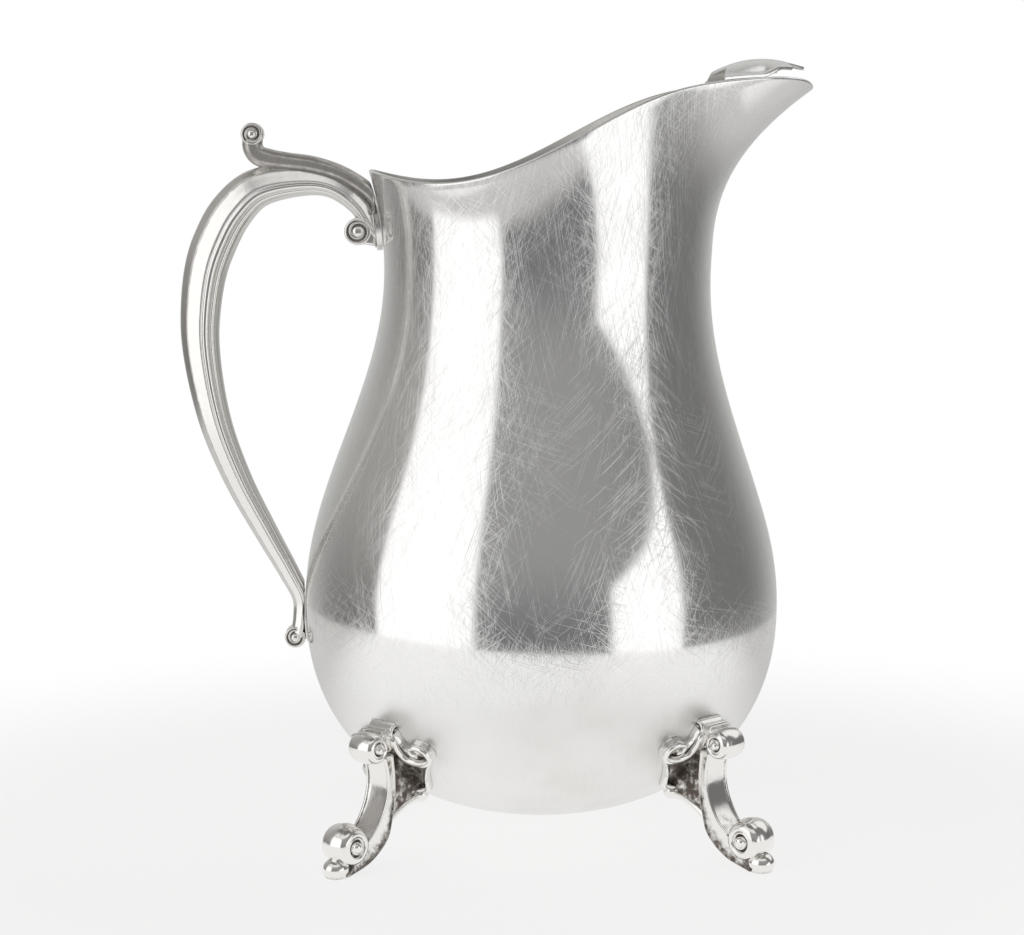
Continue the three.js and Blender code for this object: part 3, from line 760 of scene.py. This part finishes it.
shield = {
    "thickness": 2.4, "reach": 15.8, "around": 144, "rows": 44, "rowPull": 0.06, "endSlope": 1.4,
    "high": [(0, 41.6), (5.4, 41.4), (6.2, 38), (7.4, 36.6), (9, 38.2), (11, 38.9), (13.2, 38.7), (15, 37.6),
             (15.8, 35.9)],
    "low": [(0, 19.6), (2.6, 20.6), (5.2, 23), (7.6, 26), (10.9, 29.8), (13.4, 32), (15.2, 33.6), (15.8, 35.2)],
    "edgeRound": (0, 0.5), "sunk": 0.42, "sunkFrom": (0.9, 2.4),
    "darkInset": (0.9, 2.2), "darkLift": (0.5, 0.9), "darkHeights": (34.5, 32.5),
}


def makeShield():  # closed plate: out over its front, back along its seat
    s = shield
    reach = s["reach"]

    def edges(across):
        return readEdge(s["low"], abs(across)), readEdge(s["high"], abs(across))

    def inset(across, height):  # millimetres in from the shield's edge
        low, high = edges(across)
        return min(height - low, high - height, (reach - abs(across)) * s["endSlope"])

    def place(u, v):
        front = u < 0.5
        across = reach * (4 * u - 1 if front else 3 - 4 * u)
        low, high = edges(across)
        height = low + (high - low) * (v - s["rowPull"] * math.sin(2 * math.pi * v))
        lift = foot["seam"]
        if front:
            deep = inset(across, height)
            lift += s["thickness"] * (smooth(*s["edgeRound"], deep) - s["sunk"] * smooth(*s["sunkFrom"], deep))
        return onFoot(wallPoint(across, height, lift))
    piece = wrapGrid("shield", s["around"], s["rows"], place)
    smoothByAngle(piece, 60)

    # darker in the sunk middle of the front face, away from its edges and below its top
    def depth(co):
        y, z = co.y / mm, co.z / mm
        lift = math.hypot(co.x, co.y) / mm - bowlRadius(z)
        return smooth(*s["darkInset"], inset(y, z)) * smooth(*s["darkLift"], lift) * smooth(*s["darkHeights"], z)
    markRecess(piece, depth)
    return piece


band = {
    "trail": [(2.4, 41.2), (4.8, 39.4), (5.1, 36.8), (6, 34.6), (8.5, 33.3), (13, 33.6), (15.1, 35.3), (14.4, 37.4),
              (11.6, 38.2), (9.3, 37.2), (9.6, 35.8), (11.4, 35.7)],
    "size": 0.95, "thinning": 0.3, "endFrom": (0.45, 1), "startTo": (0.1, 0), "rise": 0.3, "height": 1.15,
    "around": 14, "rows": 90,
}


def makeBand(side):  # scroll band on the shield, curling in on itself at its end
    path = pathThrough(band["trail"])

    def place(u, v):
        point, ahead = path(v)
        outward = Vector((ahead.z, 0, -ahead.x))
        turn = 2 * math.pi * u
        size = band["size"] - band["thinning"] * (smooth(*band["endFrom"], v) + smooth(*band["startTo"], v))
        spot = point + outward * size * math.cos(turn)
        lift = gap + shield["thickness"] + band["rise"] + size * band["height"] * math.sin(turn)
        return onFoot(wallPoint(side * spot.x, spot.z, lift))
    piece = wrapGrid("band", band["around"], band["rows"], place)
    markRecess(piece, lambda co: 0)
    return piece


strut = {"path": ((-10.4, 20), (-8.5, 18.4), (-4.5, 17.4), (-0.6, 15.8), (2.9, 13.6), (6.3, 10.8), (9.5, 8.4)),
         "radius": 1.5, "waist": 0.3, "narrows": (0, 0.35), "widens": (0.7, 1), "around": 16, "rows": 40}


def makeStrut():  # rounded lower edge of the web, from the bead to the leg
    path = pathThrough([(seat + r, z) for r, z in strut["path"]])

    def section(u, v):
        size = strut["radius"] - strut["waist"] * (smooth(*strut["narrows"], v) - smooth(*strut["widens"], v))
        return size * math.cos(2 * math.pi * u), size * math.sin(2 * math.pi * u)
    piece = sweep("strut", path, strut["around"], strut["rows"], section, onFoot)
    markRecess(piece, lambda co: 0)
    return piece


def ballPoint(u, v):  # on a ball of radius 1
    turn, rise = 2 * math.pi * u, math.pi * (v - 0.5)
    return Vector((math.cos(rise) * math.cos(turn), math.cos(rise) * math.sin(turn), math.sin(rise)))


bead = {"spot": (-9.6, 18.6), "radius": 2.4, "tilt": (0.15, 0, 0.99), "collarRise": 2, "collarRadius": 1.9,
        "collarRound": 0.55}


def makeBead():
    spot = Vector((seat + bead["spot"][0], 0, bead["spot"][1]))
    ball = wrapGrid("bead", 24, 14, lambda u, v: onFoot(spot + bead["radius"] * ballPoint(u, v)))
    tilt = Vector(bead["tilt"])
    aside = Vector((0, 1, 0))
    across = tilt.cross(aside)

    def ring(u, v):
        turn, bend = 2 * math.pi * u, 2 * math.pi * v
        ray = aside * math.cos(turn) + across * math.sin(turn)
        reach = bead["collarRadius"] + bead["collarRound"] * math.cos(bend)
        return onFoot(spot + ray * reach + tilt * (bead["collarRise"] + bead["collarRound"] * math.sin(bend)))
    collar = wrapGrid("collar", 28, 10, ring, closeEnds=False)
    for piece in (ball, collar):
        markRecess(piece, lambda co: 0)
    return [ball, collar]


# the pad's darkening near the table is a painted contact shadow
pad = {"spot": (24.6, 2.5), "size": (4.4, 4, 3.6), "dirtAndShade": 0.5, "darkHeights": (2.2, 0.6)}


def makePad():  # flattened ball under the toe
    spot = Vector((seat + pad["spot"][0], 0, pad["spot"][1]))

    def place(u, v):
        point = spot + ballPoint(u, v) * Vector(pad["size"])
        return onFoot(Vector((point.x, point.y, max(point.z, 0))))
    piece = wrapGrid("pad", 32, 22, place)
    # painted contact shadow: the pad is darker at the bottom, where it meets the table
    markRecess(piece, lambda co: pad["dirtAndShade"] * smooth(*pad["darkHeights"], co.z / mm))
    return piece


rolls = {
    "toeRoll": {"spot": (21.1, 9.1), "radius": 5.9, "width": 10.6, "edge": 0.46, "eye": 0.28, "turns": 1.1,
                "groove": 1.3, "boss": 1.3, "crown": 0.45, "hand": 1},
    "topRoll": {"spot": (11.3, 36.2), "radius": 4.3, "width": 10, "edge": 0.44, "eye": 0.3, "turns": 1.1,
                "groove": 1.0, "boss": 1.0, "crown": 0.4, "hand": -1},
    "backRoll": {"spot": (3.9, 40.4), "radius": 3, "width": 10, "edge": 0.2, "eye": 0.35, "turns": 1.0,
                 "groove": 0.5, "boss": 0.4, "crown": 0.1, "hand": 1},
    "filler": {"spot": (7.4, 38), "radius": 3.2, "width": leg["width"] * 0.88, "edge": 0.2, "eye": 0.3,
               "turns": 1.0, "groove": 0.0, "boss": 0.0, "crown": 0.0, "hand": 1},
}
ribs = {"count": 4, "from": 40, "step": 22, "away": 3.4, "radius": 0.5, "width": leg["width"] * 0.84}
web = {"thickness": 1.6, "edge": 0.4,
       "outline": ((-9.8, 21), (-8.7, 18), (-4.8, 17), (-1.1, 15.4), (2.2, 13.3), (5.8, 10.6), (8, 12), (5.6, 20.7),
                   (5.4, 27), (6, 34), (5.6, 40.5), (4.6, 40.5), (2.2, 36), (-0.4, 32), (-4, 27.5), (-8.2, 22.8))}


def makeFoot():
    pieces = [makeLeg(), makeShield(), makeStrut(), makePad()] + makeBead()
    pieces += [makeBand(1), makeBand(-1)]
    for name, spec in rolls.items():
        x, z = spec["spot"]
        pieces.append(makeVolute(name, seat + x, z, spec["radius"], spec["width"], spec, onFoot))
    filler = rolls["filler"]
    for i in range(ribs["count"]):  # fine ribs in the valley between the two rolls
        angle = math.radians(ribs["from"] + ribs["step"] * i)
        x = seat + filler["spot"][0] + ribs["away"] * math.cos(angle)
        z = filler["spot"][1] + ribs["away"] * math.sin(angle)
        pieces.append(makeVolute("rib", x, z, ribs["radius"], ribs["width"], filler, onFoot))
    sheet = makeWeb("web", [(seat + r, z) for r, z in web["outline"]], web["thickness"], web["edge"], onFoot)
    # painted shade: the web is darkened all over to stand for the shade in the foot's hollow
    markRecess(sheet, lambda co: 1)
    pieces.append(sheet)
    whole = joinPieces("footCasting", pieces)
    keepOff(whole, lambda across, height: foot["seam"])
    return whole


feet = {"foot_front_right": -45, "foot_front_left": -135, "foot_rear_left": 129, "foot_rear_right": 51}


def placeFeet():
    pattern = makeFoot()
    for node, turn in feet.items():
        bpy.ops.object.select_all(action="DESELECT")
        pattern.select_set(True)
        bpy.context.view_layer.objects.active = pattern
        bpy.ops.object.duplicate()
        piece = bpy.context.object
        words = node.split("_")
        piece.name = "scrollFoot" + words[1].capitalize() + words[2].capitalize()
        piece.rotation_euler = (0, 0, math.radians(turn))
        piece.location = (axisX * mm, 0, 0)
        bpy.ops.object.transform_apply(location=True, rotation=True, scale=True)
        settle(piece, node, castFeet)
    bpy.data.objects.remove(pattern)


placeFeet()
print("feet made")

stage = {"radius": 395, "aside": -52, "back": 50, "tone": (0.84, 0.835, 0.82, 1), "grey": (0.79, 0.78, 0.76, 1),
         "grainScale": 40.0, "grain": 0.2, "clear": (150, 330), "near": 0.8,  # share of plain white
         "mirrored": 0.97, "mirroredLoss": 0.6, "lossFrom": (-0.05, 0.12)}


def makeStage():
    bpy.ops.object.select_all(action="DESELECT")
    bpy.ops.mesh.primitive_circle_add(vertices=96, radius=stage["radius"] * mm, fill_type="NGON")
    floor = bpy.context.object
    floor.name = "tableTop"
    for vert in floor.data.vertices:
        vert.co.x += (axisX + stage["aside"]) * mm
        vert.co.y += stage["back"] * mm
    material, wire = newMaterial("paleTable")
    where = wire.node("ShaderNodeTexCoord", output=3)
    grain = noise(wire, where, stage["grainScale"], 4.0)
    colour = mixColour(wire, grain * stage["grain"], stage["tone"], stage["grey"])
    lit = wire.node("ShaderNodeBsdfDiffuse", {}, {"Color": colour})
    white = wire.node("ShaderNodeEmission", {}, {"Color": (1, 1, 1, 1), "Strength": 1.0})
    away = wire.node("ShaderNodeVectorMath", {"operation": "LENGTH"}, {0: where}, output=1)
    far = away.between(stage["clear"][0] * mm, stage["clear"][1] * mm)  # the shadow stays near the feet
    camera = wire.node("ShaderNodeLightPath", output=0)
    glossy = wire.node("ShaderNodeLightPath", output=3)
    side = wire.node("ShaderNodeSeparateXYZ", {}, {0: where}, output=1)
    mirrored = stage["mirrored"] - side.between(*stage["lossFrom"]) * stage["mirroredLoss"]  # darker behind
    share = camera * (far * (1 - stage["near"]) + stage["near"]) + glossy * mirrored
    shown = wire.node("ShaderNodeMixShader", {}, {0: share, 1: lit, 2: white})
    wire.node("ShaderNodeOutputMaterial", {}, {"Surface": shown})
    floor.data.materials.append(material)


makeStage()

studio = {
    "front": ((0.19, 0.19, 0.195, 1), (0.33, 0.33, 0.33, 1)), "left": ((0.2, 0.195, 0.19, 1), (0.38, 0.37, 0.36, 1)),
    "right": (0.185, 0.185, 0.185, 1), "behind": (0.6, 0.6, 0.59, 1), "ceiling": (0.2, 0.19, 0.175, 1),
    "low": (0.62, 0.615, 0.61, 1),
    "raised": (-12, 24), "leftToRight": (-20, 20), "aside": (20, 95), "rearward": (112, 172), "overhead": (46, 70),
    "lowSharp": (-21, -15), "lowSoft": (-34, -5), "softAside": (30, 70),  # all in degrees
    "windows": (
        {"azimuth": -60, "half": 27, "soft": 2, "rise": (-24, -19), "fall": (38, 44), "slope": 0, "light": 1.25},
        {"azimuth": 51, "half": 19, "soft": 2.5, "rise": (-70, -60), "fall": (15, 20), "slope": 0.45, "light": 1.25},
        {"azimuth": -20, "half": 70, "soft": 14, "rise": (40, 47), "fall": (60, 70), "slope": 0, "light": 0.9},
        {"azimuth": 124, "half": 28, "soft": 8, "rise": (18, 26), "fall": (60, 70), "slope": 0, "light": 1.0}),
}


def makeStudio():
    world = bpy.data.worlds.new("studio")
    bpy.context.scene.world = world
    world.use_nodes = True
    world.node_tree.nodes.clear()
    wire = Wire(world.node_tree)
    ray = wire.node("ShaderNodeTexCoord", output=0)
    split = wire.node("ShaderNodeSeparateXYZ", {}, {0: ray})
    x, y, z = (Wire(wire.tree, split.socket.node.outputs[i]) for i in range(3))
    azimuth = wire.maths("ARCTAN2", x, 0 - y) * math.degrees(1)  # 0 towards the camera, + to the spout side
    elevation = wire.maths("ARCSINE", z) * math.degrees(1)
    sideways = wire.maths("ABSOLUTE", azimuth)
    raised = elevation.between(*studio["raised"])
    front, left = (mixColour(wire, raised, *studio[name]) for name in ("front", "left"))
    side = mixColour(wire, azimuth.between(*studio["leftToRight"]), left, studio["right"])
    tone = mixColour(wire, sideways.between(*studio["aside"]), front, side)
    tone = mixColour(wire, sideways.between(*studio["rearward"]), tone, studio["behind"])
    tone = mixColour(wire, elevation.between(*studio["overhead"]), tone, studio["ceiling"])
    sharp, soft = (1 - elevation.between(*studio[name]) for name in ("lowSharp", "lowSoft"))
    below = sharp + (soft - sharp) * azimuth.between(*studio["softAside"])
    lit = mixColour(wire, below, tone, studio["low"])
    for pane in studio["windows"]:
        turned = azimuth - pane["azimuth"]
        across = wire.maths("ABSOLUTE", turned)
        wide = 1 - across.between(pane["half"] - pane["soft"], pane["half"] + pane["soft"])
        leaning = elevation - turned * pane["slope"]  # a slope tilts the pane's top edge
        high = elevation.between(*pane["rise"]) * (1 - leaning.between(*pane["fall"]))
        lit = mixColour(wire, wide * high, lit, (*[pane["light"]] * 3, 1))
    seen = wire.node("ShaderNodeLightPath", output=0)
    shown = mixColour(wire, seen, lit, (1, 1, 1, 1))
    back = wire.node("ShaderNodeBackground", {}, {"Color": shown, "Strength": 1.0})
    wire.node("ShaderNodeOutputWorld", {}, {"Surface": back})


makeStudio()

view = {"place": (-21.91, -836.71, 212), "pitch": 6.796, "yaw": 0.911, "roll": -0.58, "lens": 95.82,
        "sensor": 36}


def makeCamera():
    bpy.ops.object.camera_add()
    camera = bpy.context.object
    camera.name = "photoView"
    camera.data.sensor_fit = "HORIZONTAL"
    camera.data.sensor_width = view["sensor"]
    camera.data.lens = view["lens"]
    turn = (Matrix.Rotation(math.radians(-view["yaw"]), 3, "Z")
            @ Matrix.Rotation(math.radians(90 - view["pitch"]), 3, "X")
            @ Matrix.Rotation(math.radians(view["roll"]), 3, "Z"))
    camera.rotation_euler = turn.to_euler()
    camera.location = toFrame(Vector(view["place"]))
    bpy.context.scene.camera = camera


makeCamera()
bpy.context.scene.view_settings.view_transform = "Standard"
print("stage, light and camera made")
